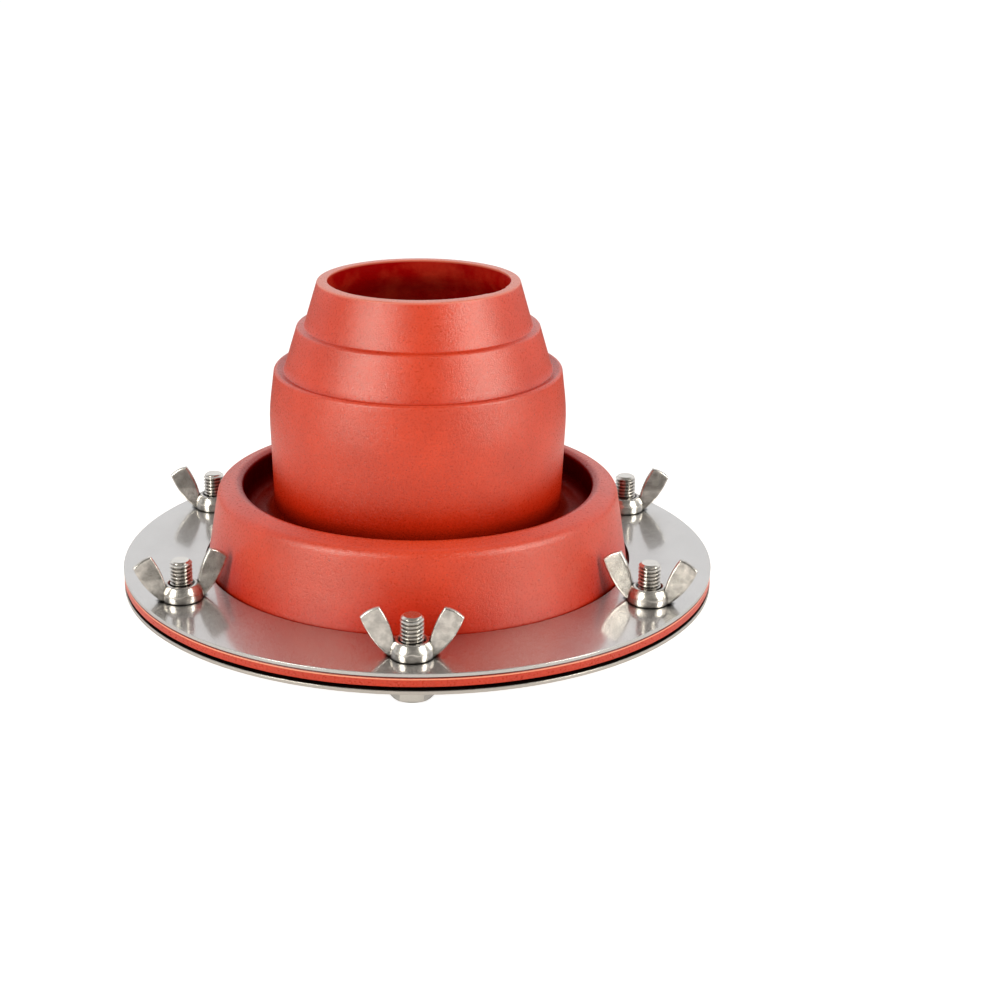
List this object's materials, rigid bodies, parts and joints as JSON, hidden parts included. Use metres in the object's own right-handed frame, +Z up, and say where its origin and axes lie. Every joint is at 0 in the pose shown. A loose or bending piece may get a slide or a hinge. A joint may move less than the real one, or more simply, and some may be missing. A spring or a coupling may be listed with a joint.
{
  "type": "tent stove jack",
  "caption": "Stepped silicone flue boot clamped between two steel rings by hex bolts and wing nuts, to pass a hot stove pipe through a tent wall.",
  "frame": {"origin": "on the flue axis, at the level of the bolt heads' undersides", "axes": "+Z up the flue, towards its mouth; -Y through the bolt at the front"},
  "size_m": [0.16, 0.16, 0.0866],
  "materials": {
    "silicone": "matte",
    "ring_steel": "polished",
    "bolt_steel": "polished",
    "nut_steel": "satin"
  },
  "bodies": {
    "clamped_boot": {"boot": "silicone", "upper_ring": "ring_steel", "lower_ring": "ring_steel", "bolt_1": "bolt_steel", "bolt_2": "bolt_steel", "bolt_3": "bolt_steel", "bolt_4": "bolt_steel", "bolt_5": "bolt_steel", "bolt_6": "bolt_steel"},
    "wing_nut_1": {"wing_nut_1": "nut_steel"},
    "wing_nut_2": {"wing_nut_2": "nut_steel"},
    "wing_nut_3": {"wing_nut_3": "nut_steel"},
    "wing_nut_4": {"wing_nut_4": "nut_steel"},
    "wing_nut_5": {"wing_nut_5": "nut_steel"},
    "wing_nut_6": {"wing_nut_6": "nut_steel"}
  },
  "joints": [
    {"name": "wing_nut_1_turn", "type": "hinge", "parent": "clamped_boot", "child": "wing_nut_1", "pos_m": [0, -0.0694, 0.0104], "axis": [0, 0, 1], "continuous": true},
    {"name": "wing_nut_2_turn", "type": "hinge", "parent": "clamped_boot", "child": "wing_nut_2", "pos_m": [0.0601, -0.0347, 0.0104], "axis": [0, 0, 1], "continuous": true},
    {"name": "wing_nut_3_turn", "type": "hinge", "parent": "clamped_boot", "child": "wing_nut_3", "pos_m": [0.0601, 0.0347, 0.0104], "axis": [0, 0, 1], "continuous": true},
    {"name": "wing_nut_4_turn", "type": "hinge", "parent": "clamped_boot", "child": "wing_nut_4", "pos_m": [0, 0.0694, 0.0104], "axis": [0, 0, 1], "continuous": true},
    {"name": "wing_nut_5_turn", "type": "hinge", "parent": "clamped_boot", "child": "wing_nut_5", "pos_m": [-0.0601, 0.0347, 0.0104], "axis": [0, 0, 1], "continuous": true},
    {"name": "wing_nut_6_turn", "type": "hinge", "parent": "clamped_boot", "child": "wing_nut_6", "pos_m": [-0.0601, -0.0347, 0.0104], "axis": [0, 0, 1], "continuous": true}
  ]
}
